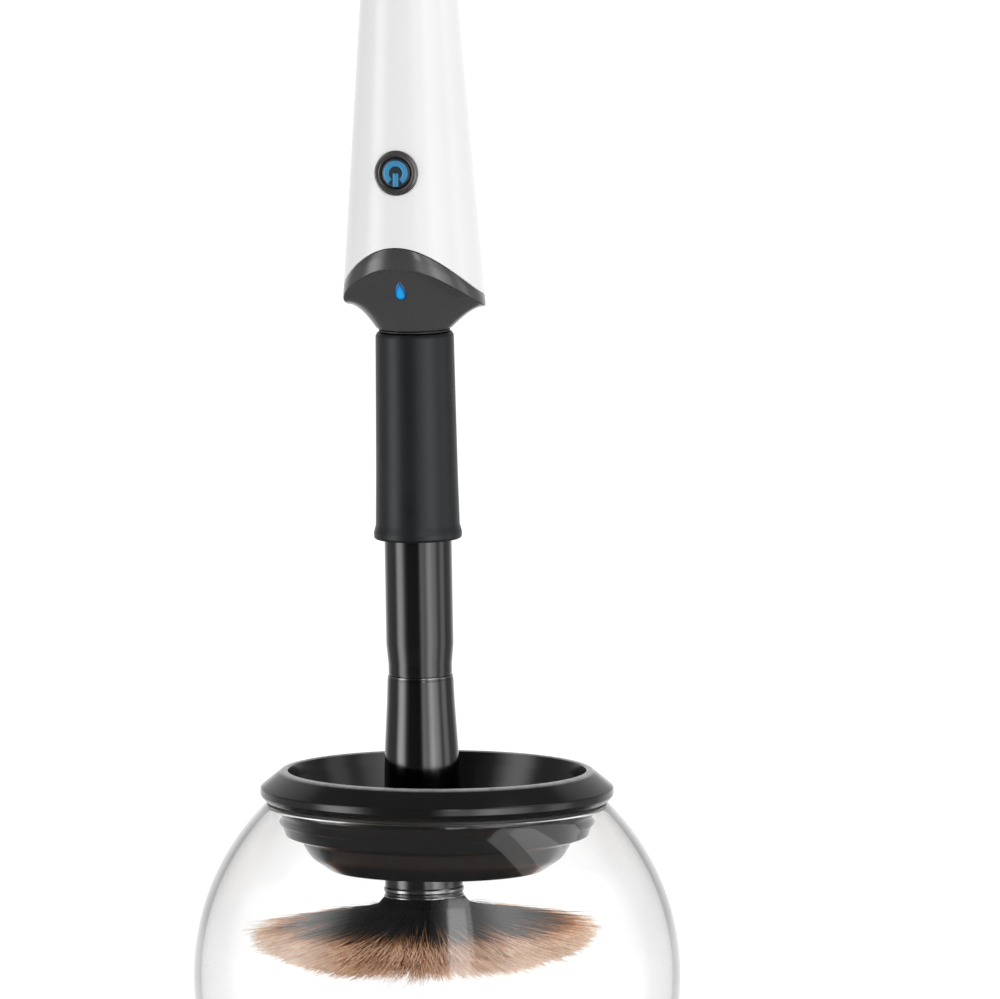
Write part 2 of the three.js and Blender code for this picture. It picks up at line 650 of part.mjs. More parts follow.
function brushFerrule() {
  const outside = [
    [8.66, FERRULE_TOP - 0.1], [8.82, -94], [9.06, -100.2], [9.45, -106.7], [9.83, -113.1], [10.1, -119.5],
    [10.3, -130], [10.4, -149.6], [10.7, -150.2], [10.7, -150.9], [10.4, -151.4], [10.6, FERRULE_END],
  ];
  const inside = [
    [9.9, FERRULE_END], [9.8, -130], [9.5, -119.5], [8.8, -106.7], [8, -98], [8, FERRULE_TOP - 0.1],
  ];
  return turned([...outside, ...inside].map(([r, z]) => at(r, z)));
}

// The head of hair thrown open by the spin: a shallow mushroom, hollow under its middle.
function brushBristles() {
  const stem = [[0, -146], [9.5, -146], [9.5, -152.8]];
  const crown = [
    [10.6, -154.6], [13, -155.8], [18.6, -156.8], [26, -157.8], [33, -158.8], [40, -160], [47.5, -162.4],
  ];
  const underside = [[47, -163.4], [44, -166], [40, -168.4], [30, -171], [24, -169], [10, -161], [0, -159]];
  return turned([...stem, ...crown, ...underside].map(([r, z]) => at(r, z)), 36);
}

function addBrush(spinner) {
  add(spinner, "collar", collar(), MATERIALS.rubber);
  add(spinner, "brush_handle", brushHandle(), MATERIALS.lacquer);
  add(spinner, "brush_ferrule", brushFerrule(), MATERIALS.blackChrome);
  add(spinner, "brush_bristles", brushBristles(), MATERIALS.hair);
}

// ---------------------------------------------------------------- assembly

function spinnerGroup() {
  const spinner = new THREE.Group();
  const side = new THREE.Vector3(Math.cos(LEAN_SIDE), Math.sin(LEAN_SIDE), 0);
  const hinge = new THREE.Vector3(0, 0, 1).cross(side).negate();
  spinner.quaternion.setFromAxisAngle(hinge, LEAN);
  spinner.position.copy(side.multiplyScalar(-NECK_SHIFT)).setZ(NECK_Z);
  return spinner;
}

function brushCleaner() {
  const root = new THREE.Group();
  const spinner = spinnerGroup();
  addWashingBowl(root);
  add(spinner, "handle_shell", handleShell(), MATERIALS.whitePlastic);
  add(spinner, "lower_cap", lowerCap(), MATERIALS.capPlastic);
  add(spinner, "cap_o_ring", capRing(), MATERIALS.rubber);
  addIndicator(spinner);
  addPowerButton(spinner);
  addDrive(spinner);
  addElectronics(spinner);
  addPower(spinner);
  addBrush(spinner);
  root.add(spinner);
  return root;
}

const cleaner = brushCleaner();

export default cleaner;
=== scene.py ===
"""The looks of the brush cleaner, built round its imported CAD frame.

Outlines are written in millimetres. The bowl and its guard use the object's own frame, and the spinner's
pieces use the frame of its spindle: +Z along the spindle, with zero at the lower cap's neck.
"""

import json
import math
import random

import bmesh
import bpy
from mathutils import Matrix, Vector


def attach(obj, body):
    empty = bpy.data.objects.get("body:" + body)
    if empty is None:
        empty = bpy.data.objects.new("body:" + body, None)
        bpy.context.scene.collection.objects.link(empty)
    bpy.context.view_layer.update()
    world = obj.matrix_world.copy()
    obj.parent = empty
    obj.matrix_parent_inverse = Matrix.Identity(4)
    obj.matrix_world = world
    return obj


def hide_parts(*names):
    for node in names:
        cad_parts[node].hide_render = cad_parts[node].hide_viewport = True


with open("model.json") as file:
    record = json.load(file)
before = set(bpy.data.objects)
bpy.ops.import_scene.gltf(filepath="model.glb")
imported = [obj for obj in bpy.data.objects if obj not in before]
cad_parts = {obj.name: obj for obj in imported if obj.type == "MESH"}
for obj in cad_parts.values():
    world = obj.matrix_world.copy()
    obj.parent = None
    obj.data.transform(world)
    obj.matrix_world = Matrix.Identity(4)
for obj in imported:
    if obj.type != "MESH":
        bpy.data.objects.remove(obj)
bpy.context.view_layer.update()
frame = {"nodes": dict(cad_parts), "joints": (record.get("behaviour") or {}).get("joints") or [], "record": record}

MM = 0.001
TAU = 2 * math.pi

# ---------------------------------------------------------------- places read from the frame

spin = next(joint for joint in frame["joints"] if joint["name"] == "spin")
SPINDLE_AXIS = Vector(spin["axis"]).normalized()
SPINDLE_TURN = Vector((0, 0, 1)).rotation_difference(SPINDLE_AXIS).to_matrix().to_4x4()
SPINNER = Matrix.Translation(Vector(spin["pos_m"])) @ SPINDLE_TURN
OBJECT = Matrix.Identity(4)

# ---------------------------------------------------------------- driving sizes, in millimetres

BOWL_R = 65
BOWL_WALL = 2
BOWL_CENTRE_Z = 48
BOWL_FLOOR = 4.2
RIM_ANGLE = math.radians(45)
FOOT_ANGLE = -0.77  # latitude, in radians, where the sphere bends into its foot
FLOOR_ANGLE = -0.663  # latitude where its inside bends into the floor

FOOT_R = 19.52
TAPER = 0.0739
EASE_Z = 87.6
EASE = 0.0004
SHELL_WALL = 1.6
SHELL_TOP = 150
HANDLE_TOP = 165
SEAM = 0.25  # width of the line between the shell and its neighbours
SPIGOT_TOP = 28

NECK_R = 10.2
BUTTON_Z = 43.1
BEZEL_R = 5.8
BUTTON_R = 4
SYMBOL_R = 3.35
SYMBOL_STROKE = 1.5

COLLAR_END = -56.5
GRIP_R = 9.2  # collar's bore for the brush
FERRULE_TOP = -93
FERRULE_END = -152.6

# ---------------------------------------------------------------- outlines


def rounded(points, closed=True, step=math.radians(12)):
    """Points are (radius, height) or (radius, height, fillet). Each fillet becomes an arc."""
    out = []
    count = len(points)
    for i, point in enumerate(points):
        here = Vector(point[:2])
        size = point[2] if len(point) > 2 else 0
        if size == 0 or (not closed and i in (0, count - 1)):
            out.append(tuple(here))
            continue
        before = Vector(points[i - 1][:2]) - here
        after = Vector(points[(i + 1) % count][:2]) - here
        half = before.angle(after) / 2
        reach = min(size / math.tan(half), 0.48 * before.length, 0.48 * after.length)
        radius = reach * math.tan(half)
        middle = (before.normalized() + after.normalized()).normalized()
        centre = here + middle * (radius / math.sin(half))
        start = here + before.normalized() * reach - centre
        end = here + after.normalized() * reach - centre
        first = math.atan2(start.y, start.x)
        sweep = (math.atan2(end.y, end.x) - first + math.pi) % TAU - math.pi
        parts = max(2, math.ceil(abs(sweep) / step))
        for k in range(parts + 1):
            angle = first + sweep * k / parts
            out.append((centre.x + radius * math.cos(angle), centre.y + radius * math.sin(angle)))
    return out


def arc(centre_z, radius, start, end, count):
    """Points on a circle about (0, centre_z), from one latitude to another."""
    angles = [start + (end - start) * i / count for i in range(count + 1)]
    return [(radius * math.cos(a), centre_z + radius * math.sin(a)) for a in angles]


def bezier_point(points, t):
    """The point at t, from 0 to 1, on a Bezier curve of any degree."""
    level = [Vector(p) for p in points]
    while len(level) > 1:
        level = [a.lerp(b, t) for a, b in zip(level, level[1:])]
    return tuple(level[0])


def bezier(points, count):
    """Evenly spaced points along a Bezier curve."""
    return [bezier_point(points, i / count) for i in range(count + 1)]


# ---------------------------------------------------------------- meshes


def new_piece(name, bm, material, body, replaced, sharp=math.radians(40)):
    """Turns a bmesh in the object's frame, in metres, into a shaded piece that rides on a body."""
    bmesh.ops.remove_doubles(bm, verts=bm.verts, dist=1e-7)
    bmesh.ops.recalc_face_normals(bm, faces=bm.faces)
    mesh = bpy.data.meshes.new(name)
    bm.to_mesh(mesh)
    bm.free()
    mesh.shade_smooth()
    mesh.set_sharp_from_angle(angle=sharp)
    piece = bpy.data.objects.new(name, mesh)
    bpy.context.scene.collection.objects.link(piece)
    mesh.materials.append(material)
    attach(piece, body)
    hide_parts(*replaced)
    return piece


def turned(outline_at, segments=144, place=SPINNER, loop=True, edge_highlight=None):
    """A bmesh turned about +Z.

    outline_at is a list of (radius, height), or a function of the angle from the front that gives one. The last
    argument is a function of (radius, height) that says how much painted highlight the surface gets there, from 0
    to 1.
    """
    section_at = outline_at if callable(outline_at) else lambda angle: outline_at
    bm = bmesh.new()
    painted_highlight = bm.verts.layers.float.new("edge_highlight") if edge_highlight else None
    columns = []
    for i in range(segments):
        angle = TAU * i / segments
        column = []
        for j, (r, z) in enumerate(section_at(angle)):
            if r < 1e-6 and i > 0:
                column.append(columns[0][j])
                continue
            x, y = r * math.sin(angle), -r * math.cos(angle)
            vert = bm.verts.new(place @ (Vector((x, y, z)) * MM))
            if edge_highlight:
                vert[painted_highlight] = edge_highlight(r, z)
            column.append(vert)
        columns.append(column)
    rows = len(columns[0])
    for i in range(segments):
        a, b = columns[i], columns[(i + 1) % segments]
        for j in range(rows if loop else rows - 1):
            k = (j + 1) % rows
            corners = list(dict.fromkeys((a[j], b[j], b[k], a[k])))
            if len(corners) > 2:
                bm.faces.new(corners)
    return bm


# ---------------------------------------------------------------- material nodes


class Nodes:
    """A short way to write a node tree."""

    def __init__(self, tree):
        self.tree = tree

    def add(self, kind, inputs=None, **settings):
        node = self.tree.nodes.new(kind)
        for key, value in settings.items():
            setattr(node, key, value)
        for key, value in (inputs or {}).items():
            self.feed(node.inputs[key], value)
        return node

    def feed(self, socket, value):
        if isinstance(value, bpy.types.NodeSocket):
            self.tree.links.new(value, socket)
        elif isinstance(value, bpy.types.Node):
            self.tree.links.new(value.outputs[0], socket)
        else:
            socket.default_value = value

    def math(self, operation, *values, clamp=False):
        node = self.add("ShaderNodeMath", operation=operation, use_clamp=clamp)
        for socket, value in zip(node.inputs, values):
            self.feed(socket, value)
        return node.outputs[0]

    def remap(self, value, low, high, to_low=0.0, to_high=1.0, smooth=False):
        kind = "SMOOTHSTEP" if smooth else "LINEAR"
        inputs = {0: value, 1: low, 2: high, 3: to_low, 4: to_high}
        return self.add("ShaderNodeMapRange", inputs, interpolation_type=kind).outputs[0]

    def noise(self, scale, detail=3.0, roughness=0.5, vector=None):
        inputs = {"Scale": scale, "Detail": detail, "Roughness": roughness}
        if vector is not None:
            inputs["Vector"] = vector
        return self.add("ShaderNodeTexNoise", inputs).outputs["Fac"]

    def ramp(self, value, stops, interpolation="LINEAR"):
        node = self.add("ShaderNodeValToRGB", {0: value})
        ramp = node.color_ramp
        ramp.interpolation = interpolation
        while len(ramp.elements) > 1:
            ramp.elements.remove(ramp.elements[-1])
        ramp.elements[0].position = stops[0][0]
        ramp.elements[0].color = stops[0][1]
        for position, color in stops[1:]:
            ramp.elements.new(position).color = color
        return node.outputs["Color"]

    def place(self, stretch=(1, 1, 1)):
        """Position in the object's frame, in metres, stretched along the axes."""
        coordinates = self.add("ShaderNodeTexCoord").outputs["Object"]
        return self.add("ShaderNodeMapping", {"Vector": coordinates, "Scale": stretch}).outputs[0]


def grey(value, alpha=1.0):
    return (value, value, value, alpha)


def finish(name, low, high, rough, grain=900, bump=0.004, speck=40, stretch=(1, 1, 1), **principled):
    """A surface whose colour drifts between two shades, with grain in its roughness and its relief.

    rough is a pair of roughness limits. grain is the relief's scale per metre, and bump its height in
    millimetres. speck is the scale of the colour's drift.
    """
    material = bpy.data.materials.new(name)
    material.use_nodes = True
    nodes = Nodes(material.node_tree)
    shader = material.node_tree.nodes["Principled BSDF"]
    place = nodes.place(stretch)
    drift = nodes.noise(speck, 4.0, 0.6, place)
    fine = nodes.noise(grain, 3.0, 0.6, place)
    nodes.feed(shader.inputs["Base Color"], nodes.ramp(drift, [(0.3, low), (0.7, high)]))
    mixed = nodes.math("MULTIPLY_ADD", drift, 0.5, nodes.math("MULTIPLY", fine, 0.5))
    nodes.feed(shader.inputs["Roughness"], nodes.remap(mixed, 0.3, 0.7, *rough))
    relief = nodes.add("ShaderNodeBump", {"Height": fine, "Distance": bump * MM, "Strength": 1.0})
    nodes.feed(shader.inputs["Normal"], relief)
    for key, value in principled.items():
        shader.inputs[key.replace("_", " ")].default_value = value
    return material


def paint_edge_highlight(material, color):
    """Where a piece's edge attribute is high, its colour is mixed towards the given lighter one: a painted
    highlight along those edges.
    """
    nodes = Nodes(material.node_tree)
    base = material.node_tree.nodes["Principled BSDF"].inputs["Base Color"]
    painted_highlight = nodes.add("ShaderNodeAttribute", attribute_name="edge_highlight").outputs["Fac"]
    patches = nodes.remap(nodes.noise(350, 4.0, 0.6, nodes.place()), 0.25, 0.6, 0.55, 1.0)
    patchy = nodes.math("MULTIPLY", painted_highlight, patches)
    mix = nodes.add("ShaderNodeMix", {0: patchy, 6: base.links[0].from_socket, 7: color}, data_type="RGBA")
    nodes.feed(base, mix.outputs[2])
    return material


def white_plastic():
    low, high = (0.80, 0.80, 0.80, 1), (0.82, 0.82, 0.815, 1)
    return finish("white_plastic", low, high, (0.16, 0.22), 500, 0.0015, IOR=1.5, Specular_IOR_Level=0.3)


def cap_plastic():
    return finish("cap_plastic", grey(0.050), grey(0.058), (0.13, 0.18), grain=2600, bump=0.004, IOR=1.5)


def guard_plastic():
    low, high = grey(0.005), grey(0.008)
    dark = finish("guard_plastic", low, high, (0.12, 0.2), 1200, 0.003, Specular_IOR_Level=0.4)
    # grey(0.3) is a painted highlight, the bright line along the guard's lip.
    return paint_edge_highlight(dark, grey(0.3))


def bezel_plastic():
    low, high = (0.034, 0.031, 0.029, 1), (0.044, 0.040, 0.037, 1)
    return finish("bezel_plastic", low, high, (0.24, 0.32), grain=1500, bump=0.002, IOR=1.75)


def button_plastic():
    low, high = (0.009, 0.022, 0.030, 1), (0.012, 0.028, 0.038, 1)
    return finish("button_plastic", low, high, (0.35, 0.42), grain=2200, bump=0.004)


def rubber():
    low, high = (0.0085, 0.0098, 0.0115, 1), (0.011, 0.0125, 0.0145, 1)
    return finish("rubber", low, high, (0.34, 0.42), 3200, 0.008, 120, IOR=1.4, Specular_IOR_Level=0.33)


def seal_rubber():
    return finish("seal_rubber", grey(0.006), grey(0.012), (0.5, 0.62), grain=3000, bump=0.01)


def lacquer():
    return finish("lacquer", grey(0.0035), grey(0.005), (0.07, 0.12), grain=260, bump=0.0012, IOR=1.5)


def black_chrome():
    low, high = (0.050, 0.050, 0.051, 1), (0.064, 0.064, 0.065, 1)
    streaks = (1, 1, 0.03)
    dark = finish("black_chrome", low, high, (0.05, 0.14), 2400, 0.003, 300, streaks, Metallic=1.0)
    # grey(0.4) is a painted highlight on the ferrule's rolled top edge, crimp and bottom edge.
    return paint_edge_highlight(dark, grey(0.4))


def blue_enamel():
    low, high = (0.030, 0.215, 0.42, 1), (0.040, 0.25, 0.48, 1)
    return finish("blue_enamel", low, high, (0.3, 0.4), grain=2500, bump=0.003)


def light_window():
    """Frosted blue lens, brightest in its middle and navy round its edge."""
    low, high = (0.002, 0.012, 0.05, 1), (0.003, 0.02, 0.07, 1)
    material = finish("light_window", low, high, (0.1, 0.2), grain=1500, bump=0.002)
    nodes = Nodes(material.node_tree)
    shader = material.node_tree.nodes["Principled BSDF"]
    depth = nodes.add("ShaderNodeAttribute", attribute_name="lens_depth").outputs["Fac"]
    navy, azure, cyan = (0.0, 0.01, 0.05, 1), (0.004, 0.24, 0.72, 1), (0.02, 0.42, 0.88, 1)
    glow = nodes.ramp(depth, [(0.0, navy), (0.12, navy), (0.34, azure), (0.6, cyan)])
    nodes.feed(shader.inputs["Emission Color"], glow)
    shader.inputs["Emission Strength"].default_value = 0.8
    return material


def clear_glass():
    """Glass that mirrors and bends what the camera sees in it. Light on its way to other pieces only loses a
    little of its strength."""
    material = bpy.data.materials.new("clear_glass")
    material.use_nodes = True
    tree = material.node_tree
    tree.nodes.clear()
    nodes = Nodes(tree)
    facing = nodes.add("ShaderNodeLayerWeight", {"Blend": 0.5}).outputs["Facing"]
    # Painted shade: the glass colour turns darker only where it is seen edge-on, drawing grey lines along its
    # outline.
    edge_shade = nodes.ramp(facing, [(0.0, grey(1.0)), (0.9, grey(0.99)), (1.0, grey(0.9))])
    waves = nodes.noise(14, 2.0, 0.4, nodes.place())
    relief = nodes.add("ShaderNodeBump", {"Height": waves, "Distance": 0.02 * MM, "Strength": 0.6})
    surface = {"Color": edge_shade, "Roughness": 0.0, "IOR": 1.43, "Normal": relief}
    glass = nodes.add("ShaderNodeBsdfGlass", surface)
    clear = nodes.add("ShaderNodeBsdfTransparent", {"Color": grey(0.98)})
    path = nodes.add("ShaderNodeLightPath").outputs
    soft = nodes.math("MAXIMUM", path["Is Shadow Ray"], path["Is Diffuse Ray"])
    entering = nodes.math("MAXIMUM", path["Is Camera Ray"], path["Is Transmission Ray"])
    passing = nodes.math("MAXIMUM", soft, nodes.math("SUBTRACT", 1.0, entering))
    mixed = nodes.add("ShaderNodeMixShader", {0: passing, 1: glass, 2: clear})
    nodes.add("ShaderNodeOutputMaterial", {"Surface": mixed})
    return material


TURN_AT = 0.55  # value of the strand_along attribute where the root's colour turns


def hair():
    """Charcoal roots and tan tips. The attributes say how far along its strand a point is, and the strand's
    own tone."""
    material = bpy.data.materials.new("hair")
    material.use_nodes = True
    nodes = Nodes(material.node_tree)
    shader = material.node_tree.nodes["Principled BSDF"]
    along = nodes.add("ShaderNodeAttribute", attribute_name="strand_along").outputs["Fac"]
    tone = nodes.add("ShaderNodeAttribute", attribute_name="strand_tone").outputs["Fac"]
    shifted = nodes.math("ADD", along, nodes.remap(tone, 0, 1, -0.10, 0.10))
    color = nodes.ramp(shifted, [
        (0.0, (0.008, 0.009, 0.010, 1)),
        (TURN_AT - 0.11, (0.014, 0.015, 0.017, 1)),
        (TURN_AT - 0.02, (0.060, 0.045, 0.036, 1)),
        (0.61, (0.46, 0.21, 0.09, 1)),
        (0.78, (0.81, 0.44, 0.23, 1)),
        (1.0, (0.95, 0.74, 0.57, 1)),
    ])
    value = nodes.remap(tone, 0, 1, 0.72, 1.3)
    streaks = nodes.noise(1500, 2.0, 0.5, nodes.place())
    varied = nodes.math("MULTIPLY", value, nodes.remap(streaks, 0.3, 0.7, 0.85, 1.15))
    shade = nodes.add("ShaderNodeHueSaturation", {"Color": color, "Value": varied})
    nodes.feed(shader.inputs["Base Color"], shade)
    shader.inputs["Roughness"].default_value = 0.45
    shader.inputs["Specular IOR Level"].default_value = 0.3
    return material


# ---------------------------------------------------------------- finishes of the pieces inside


def inner_finishes():
    """One procedural finish for each of the record's material slots that the inner pieces use."""
    jacket = (0.45, 0.27, 0.06, 1), (0.62, 0.40, 0.10, 1)
    drawn = {"grain": 1600, "bump": 0.003, "speck": 200, "stretch": (1, 1, 0.1), "Metallic": 1.0}
    return {
        "rubber": seal_rubber(),
        "black_plastic": finish("inner_black", grey(0.012), grey(0.02), (0.3, 0.42), grain=1500),
        "chassis_plastic": finish("chassis_plastic", grey(0.30), grey(0.36), (0.42, 0.55), 1400, 0.008),
        "motor_plastic": finish("motor_plastic", (0.66, 0.64, 0.56, 1), (0.74, 0.72, 0.65, 1), (0.35, 0.5)),
        "blue_light": finish("lamp_blue", (0.03, 0.22, 0.5, 1), (0.06, 0.32, 0.66, 1), (0.15, 0.3)),
        "board": finish("board", (0.008, 0.10, 0.045, 1), (0.014, 0.17, 0.08, 1), (0.25, 0.4), speck=900),
        "chip": finish("chip", grey(0.012), grey(0.022), (0.45, 0.6), grain=2600),
        "magnet": finish("magnet", grey(0.03), grey(0.06), (0.6, 0.8), grain=2200, bump=0.02),
        "cell_jacket": finish("cell_jacket", *jacket, (0.2, 0.3), Metallic=0.7),
        "red_wire": finish("red_wire", (0.35, 0.010, 0.010, 1), (0.5, 0.02, 0.015, 1), (0.35, 0.5)),
        "black_wire": finish("black_wire", grey(0.01), grey(0.02), (0.35, 0.5)),
        "steel": finish("steel", grey(0.48), grey(0.60), (0.22, 0.36), **drawn),
        "brass": finish("brass", (0.62, 0.42, 0.16, 1), (0.74, 0.54, 0.24, 1), (0.22, 0.38), Metallic=1.0),
    }


def dress_inner_pieces():
    """Every CAD piece that stays in view takes its slot's finish."""
    finishes = inner_finishes()
    slots = {row["node"]: row["material_slot"] for row in frame["record"]["subparts"]}
    for name, node in frame["nodes"].items():
        if node.hide_render:
            continue
        node.data.materials.clear()
        node.data.materials.append(finishes[slots[name]])


# ---------------------------------------------------------------- washing bowl and splash guard


def glass_bowl(material):
    """A blown sphere cut at its rim, with a bead round the rim, and a flat foot under a thick floor."""
    inner = BOWL_R - BOWL_WALL
    outside = arc(BOWL_CENTRE_Z, BOWL_R, FOOT_ANGLE, RIM_ANGLE, 56)
    foot = bezier([(38, 0), (44.2, 0), outside[0]], 8)
    lip = BOWL_WALL / 2
    middle = Vector(arc(BOWL_CENTRE_Z, BOWL_R - lip, RIM_ANGLE, RIM_ANGLE, 1)[0])
    bead = []
    for i in range(1, 8):
        angle = RIM_ANGLE + math.pi * i / 8
        bead.append((middle.x + lip * math.cos(angle), middle.y + lip * math.sin(angle)))
    inside = arc(BOWL_CENTRE_Z, inner, RIM_ANGLE, FLOOR_ANGLE, 52)
    floor = bezier([inside[-1], (45.7, BOWL_FLOOR), (36, BOWL_FLOOR)], 8)
    outline = [(0, 0.35), (30, 0.35), *foot, *outside[1:], *bead, *inside, *floor[1:], (0, BOWL_FLOOR)]
    bm = turned(outline, segments=192, place=OBJECT, loop=False)
    return new_piece("glass_bowl", bm, material, "bowl", ["bowl"])


def guard_funnel(material):
    """Flange, plug with two ribs, step, and drip cone, moulded in one piece."""
    outline = rounded([
        (26.8, 76.8, 0.4), (28.5, 76.8, 0.7), (33.6, 80.2, 6), (36.2, 84.5, 0.4), (40.2, 85.9, 0.6),
        (40.7, 87.4, 0.5), (41.2, 88.6, 0.3), (41.7, 88.9, 0.3), (42.5, 91.0, 0.3), (43.3, 91.4, 0.4),
        (43.9, 93, 0.5), (43.9, 95.4, 0.1), (45.8, 95.4, 0.5), (47.1, 96.9, 0.8), (47.1, 98.8, 0.7),
        (42.3, 102.72), (41.5, 103.35, 0.45), (39.9, 103.55, 0.5), (39.2, 100, 3), (37.8, 95.5, 8),
        (36.4, 91.5, 8), (34.9, 86.2, 2), (34.2, 83.6, 2), (31.4, 80.6, 4), (26.9, 77.5, 0.3),
    ])

    def lip_highlight(r, z):
        """The lip gets a painted highlight: a bright line along its top."""
        return min(1.0, max(0.0, (z - 103.1) / 0.15))

    bm = turned(outline, segments=192, place=OBJECT, edge_highlight=lip_highlight)
    return new_piece("guard_funnel", bm, material, "guard", ["splash_guard"])


def guard_gasket(material):
    outline = rounded([(44.1, 94.4, 0.2), (45.4, 94.4, 0.35), (45.4, 95.3, 0.3), (44.1, 95.3, 0.2)])
    bm = turned(outline, segments=160, place=OBJECT)
    return new_piece("guard_gasket", bm, material, "guard", ["guard_seal"])


# ---------------------------------------------------------------- handle


def handle_radius(z):
    above = max(0, z - EASE_Z)
    return FOOT_R - TAPER * z + EASE * above * above


def seam_height(angle):
    """Where the white shell meets the lower cap: high in front, lower behind, and lowest near the sides."""
    return 13.65 + 5.26 * math.cos(angle) + 4.13 * math.cos(2 * angle)


def skirt_height(angle):
    """Lower edge of the cap's skirt."""
    return 9.2 + 5 * math.cos(angle) + 3.06 * math.cos(2 * angle)


def underside_height(radius, angle):
    """The cap's hollowed underside, rising from the neck to the skirt."""
    edge = skirt_height(angle)
    share = (radius - NECK_R) / (handle_radius(edge) - NECK_R)
    return edge * math.sin(math.pi / 2 * min(max(share, 0), 1))


CASING_COLUMNS = 120
CASING_ROWS = 84
WINDOW_COLUMNS = 9  # the button's window in that grid, to each side of the front
WINDOW_LOW_ROW = 16
WINDOW_HIGH_ROW = 30
WINDOW_REACH = 9  # and above and below the button, in millimetres


def casing_point(angle, z):
    r = handle_radius(z)
    return SPINNER @ (Vector((r * math.sin(angle), -r * math.cos(angle), z)) * MM)


def casing_height(row, angle):
    """Rows follow the seam at the bottom, are level across the window, and stay level above it."""
    bottom = seam_height(angle) + SEAM
    low, high, top = BUTTON_Z - WINDOW_REACH, BUTTON_Z + WINDOW_REACH, SHELL_TOP - SEAM
    if row <= WINDOW_LOW_ROW:
        return bottom + (low - bottom) * row / WINDOW_LOW_ROW
    if row <= WINDOW_HIGH_ROW:
        return low + (high - low) * (row - WINDOW_LOW_ROW) / (WINDOW_HIGH_ROW - WINDOW_LOW_ROW)
    return high + (top - high) * (row - WINDOW_HIGH_ROW) / (CASING_ROWS - WINDOW_HIGH_ROW)


def casing_grid(bm):
    """The shell's surface as a grid of vertices, without the window. Keys are (column, row)."""
    grid = {}
    for i in range(CASING_COLUMNS):
        angle = TAU * i / CASING_COLUMNS
        for j in range(CASING_ROWS + 1):
            across = i < WINDOW_COLUMNS or i > CASING_COLUMNS - WINDOW_COLUMNS
            if across and WINDOW_LOW_ROW < j < WINDOW_HIGH_ROW:
                continue
            grid[i, j] = bm.verts.new(casing_point(angle, casing_height(j, angle)))
    for i in range(CASING_COLUMNS):
        k = (i + 1) % CASING_COLUMNS
        for j in range(CASING_ROWS):
            across = i < WINDOW_COLUMNS or i >= CASING_COLUMNS - WINDOW_COLUMNS
            if across and WINDOW_LOW_ROW <= j < WINDOW_HIGH_ROW:
                continue
            bm.faces.new([grid[c] for c in ((i, j), (k, j), (k, j + 1), (i, j + 1))])
    return grid


def close_window(bm, grid, hole_r):
    """Fills the window with rings that close in on the button's round hole, so the surface stays smooth."""
    side, low, high = WINDOW_COLUMNS, WINDOW_LOW_ROW, WINDOW_HIGH_ROW
    edge = [(i, low) for i in range(-side, side)]
    edge += [(side, j) for j in range(low, high)]
    edge += [(i, high) for i in range(side, -side, -1)]
    edge += [(-side, j) for j in range(high, low, -1)]
    button_r = handle_radius(BUTTON_Z)
    flat = []
    for i, j in edge:
        angle = TAU * i / CASING_COLUMNS
        flat.append(Vector((angle * button_r, casing_height(j, angle) - BUTTON_Z)))
    outer = [grid[i % CASING_COLUMNS, j] for i, j in edge]
    rings = 7
    for k in range(1, rings + 1):
        share = (k / rings) ** 0.8
        ring = []
        for point in flat:
            u, v = point.lerp(point.normalized() * hole_r, share)
            ring.append(bm.verts.new(casing_point(u / button_r, BUTTON_Z + v)))
        for n in range(len(edge)):
            m = (n + 1) % len(edge)
            bm.faces.new([outer[n], outer[m], ring[m], ring[n]])
        outer = ring


def handle_casing(material):
    """The white shell, with a round hole for the button. Solidify gives it its wall."""
    bm = bmesh.new()
    grid = casing_grid(bm)
    close_window(bm, grid, BEZEL_R + 0.12)
    casing = new_piece("handle_casing", bm, material, "spinner", ["handle_shell"])
    wall = casing.modifiers.new("wall", "SOLIDIFY")
    wall.thickness = SHELL_WALL * MM
    wall.offset = -1
    wall.use_even_offset = True
    edges = casing.modifiers.new("soft_edges", "BEVEL")
    edges.width = 0.22 * MM
    edges.segments = 2
    edges.limit_method = "ANGLE"
    edges.angle_limit = math.radians(50)
    return casing


def saddle_cap(material):
    """The dark cap under the shell: a skirt between two saddle curves, and a hollow underside."""
    bore_r, boss_r, boss_top = 5.6, 10.4, 13
    roof = 3  # thickness over the hollow underside

    def spigot_radius(z):
        return handle_radius(z) - SHELL_WALL - 0.3

    def section(angle):
        skirt = skirt_height(angle)
        seam = seam_height(angle)
        rim = handle_radius(skirt)
        points = [(bore_r, 0.9), (bore_r, 0.4), (9.2, 0.0), (9.9, 0.05)]
        steps = 22
        edge_round = 0.7
        for i in range(steps + 1):
            r = NECK_R + (rim - edge_round - NECK_R) * i / steps
            points.append((r, 0.25 + underside_height(r, angle)))
        top_of_round = skirt + edge_round * 1.2
        corner = (rim - 0.02, skirt + 0.12)
        points += bezier([points[-1], corner, (handle_radius(top_of_round), top_of_round)], 5)[1:]
        half_way = (top_of_round + seam) / 2
        seam_r = handle_radius(seam)
        top_r = spigot_radius(SPIGOT_TOP)
        points += [
            (handle_radius(half_way), half_way), (seam_r, seam - 0.3), (seam_r - 0.08, seam - 0.1),
            (seam_r - 0.3, seam), (spigot_radius(seam), seam), (top_r, SPIGOT_TOP),
            (top_r - 1.5, SPIGOT_TOP), (15.6, seam),
        ]
        for r in (15.4, 14, 12.2, boss_r):
            points.append((r, underside_height(r, angle) + roof))
        points += [(boss_r, boss_top), (bore_r, boss_top)]
        return points

    bm = turned(section, segments=192)
    return new_piece("saddle_cap", bm, material, "spinner", ["lower_cap"], math.radians(32))


